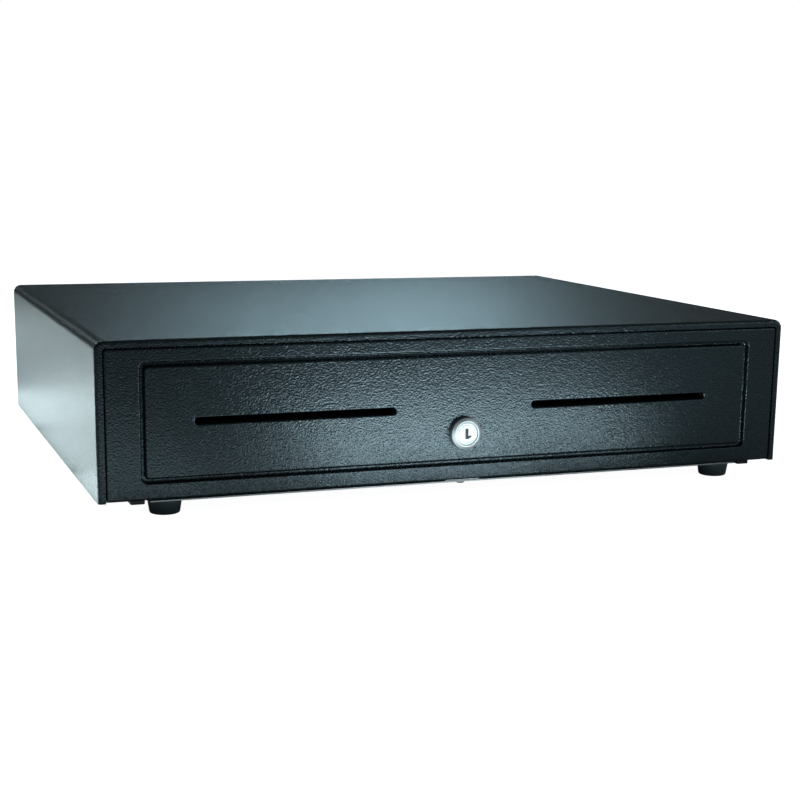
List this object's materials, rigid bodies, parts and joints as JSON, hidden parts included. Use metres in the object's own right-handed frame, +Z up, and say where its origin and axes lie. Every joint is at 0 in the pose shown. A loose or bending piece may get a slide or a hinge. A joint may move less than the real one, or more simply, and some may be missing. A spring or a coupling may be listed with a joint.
{
  "type": "cash drawer",
  "caption": "Low steel cabinet with a sliding drawer: grooved front with two media slots and a key lock, moulded till with note clips and coin cups, ball slides, rubber feet.",
  "frame": {"origin": "bottom centre of the object, on the surface that the feet stand on", "axes": "+X to the right of somebody facing the drawer, +Y to the rear, +Z up"},
  "size_m": [0.478, 0.393, 0.1094],
  "materials": {
    "cover_paint": "textured powder coat, black, semi-gloss",
    "front_paint": "leather-grain powder coat, black, semi-gloss",
    "galvanised": "galvanised sheet, faint spangle",
    "zinc_steel": "zinc plated",
    "black_fastener": "black zinc",
    "bright_chrome": "polished, fine turning marks",
    "ball_steel": "polished ball steel",
    "black_rubber": "matt",
    "till_plastic": "fine spark texture",
    "cup_plastic": "fine spark texture",
    "black_plastic": "moulded",
    "nylon": "moulded nylon",
    "spring_steel": "drawn wire",
    "winding": "taped winding"
  },
  "bodies": {
    "cabinet": {"cover": "cover_paint", "base_pan": "galvanised", "rear_panel": "cover_paint", "rear_screws": "black_fastener", "pan_rivets": "zinc_steel", "bracket_rivets": "zinc_steel", "interface_socket": "black_plastic", "front_glides": "nylon", "lock_strike": "zinc_steel", "strike_screw": "zinc_steel", "rubber_feet": "black_rubber", "foot_screws": "zinc_steel", "stop_brackets": "galvanised", "rear_bumpers": "black_rubber", "latch_bracket": "galvanised", "latch_pivot_pin": "zinc_steel", "solenoid_frame": "zinc_steel", "solenoid_coil": "winding", "plunger_spring": "spring_steel", "ejector_housing": "black_plastic", "ejector_spring": "spring_steel", "status_switch": "black_plastic", "slide_outer_left": "zinc_steel", "slide_outer_right": "zinc_steel"},
    "drawer": {"drawer_front": "front_paint", "drawer_box": "galvanised", "drawer_screws": "zinc_steel", "till_supports": "galvanised", "slide_rivets": "zinc_steel", "till": "till_plastic", "clip_rod": "zinc_steel", "clip_springs": "spring_steel", "striker": "zinc_steel", "lock_body": "bright_chrome", "lock_nut": "zinc_steel", "slide_inner_left": "zinc_steel", "slide_inner_right": "zinc_steel", "media_chute_left": "black_plastic", "media_chute_right": "black_plastic", "coin_cup_1": "cup_plastic", "coin_cup_2": "cup_plastic", "coin_cup_3": "cup_plastic", "coin_cup_4": "cup_plastic", "coin_cup_5": "cup_plastic"},
    "ball_cage_left": {"ball_cage_left": "zinc_steel", "slide_balls_left": "ball_steel"},
    "ball_cage_right": {"ball_cage_right": "zinc_steel", "slide_balls_right": "ball_steel"},
    "lock": {"lock_plug": "bright_chrome", "lock_cam": "zinc_steel"},
    "latch": {"latch_lever": "zinc_steel"},
    "plunger": {"solenoid_plunger": "zinc_steel"},
    "ejector": {"ejector_plunger": "nylon"},
    "switch": {"switch_lever": "spring_steel"},
    "note_clip_1": {"note_clip_1": "black_plastic"},
    "note_clip_2": {"note_clip_2": "black_plastic"},
    "note_clip_3": {"note_clip_3": "black_plastic"},
    "note_clip_4": {"note_clip_4": "black_plastic"},
    "note_clip_5": {"note_clip_5": "black_plastic"}
  },
  "joints": [
    {"name": "drawer_slide", "type": "slide", "parent": "cabinet", "child": "drawer", "axis": [0, -1, 0], "range_m": [0, 0.28]},
    {"name": "ball_cage_left_roll", "type": "slide", "parent": "cabinet", "child": "ball_cage_left", "axis": [0, -1, 0], "range_m": [0, 0.14]},
    {"name": "ball_cage_right_roll", "type": "slide", "parent": "cabinet", "child": "ball_cage_right", "axis": [0, -1, 0], "range_m": [0, 0.14]},
    {"name": "lock_turn", "type": "hinge", "parent": "drawer", "child": "lock", "pos_m": [0, -0.193, 0.0418], "axis": [0, 1, 0], "range_deg": [0, 90]},
    {"name": "plunger_stroke", "type": "slide", "parent": "cabinet", "child": "plunger", "axis": [1, 0, 0], "range_m": [0, 0.0036]},
    {"name": "latch_turn", "type": "hinge", "parent": "cabinet", "child": "latch", "pos_m": [-0.014, 0.184, 0.0465], "axis": [0, 0, 1], "range_deg": [0, 13.2]},
    {"name": "ejector_stroke", "type": "slide", "parent": "cabinet", "child": "ejector", "axis": [0, 1, 0], "range_m": [0, 0.003], "stiffness_N_per_m": 400},
    {"name": "switch_lever_swing", "type": "hinge", "parent": "cabinet", "child": "switch", "pos_m": [0.072, 0.1595, 0.0404], "axis": [0, 0, 1], "range_deg": [0, 12], "stiffness_Nm_per_rad": 0.01},
    {"name": "note_clip_1_lift", "type": "hinge", "parent": "drawer", "child": "note_clip_1", "pos_m": [-0.1752, 0.131, 0.088], "axis": [-1, 0, 0], "range_deg": [0, 40], "stiffness_Nm_per_rad": 0.02},
    {"name": "note_clip_2_lift", "type": "hinge", "parent": "drawer", "child": "note_clip_2", "pos_m": [-0.0876, 0.131, 0.088], "axis": [-1, 0, 0], "range_deg": [0, 40], "stiffness_Nm_per_rad": 0.02},
    {"name": "note_clip_3_lift", "type": "hinge", "parent": "drawer", "child": "note_clip_3", "pos_m": [0, 0.131, 0.088], "axis": [-1, 0, 0], "range_deg": [0, 40], "stiffness_Nm_per_rad": 0.02},
    {"name": "note_clip_4_lift", "type": "hinge", "parent": "drawer", "child": "note_clip_4", "pos_m": [0.0876, 0.131, 0.088], "axis": [-1, 0, 0], "range_deg": [0, 40], "stiffness_Nm_per_rad": 0.02},
    {"name": "note_clip_5_lift", "type": "hinge", "parent": "drawer", "child": "note_clip_5", "pos_m": [0.1752, 0.131, 0.088], "axis": [-1, 0, 0], "range_deg": [0, 40], "stiffness_Nm_per_rad": 0.02}
  ],
  "couplings": [
    {"joint": "ball_cage_left_roll", "follows": "drawer_slide", "ratio": 0.5},
    {"joint": "ball_cage_right_roll", "follows": "drawer_slide", "ratio": 0.5},
    {"joint": "latch_turn", "follows": "plunger_stroke", "rad_per_m": 63}
  ]
}
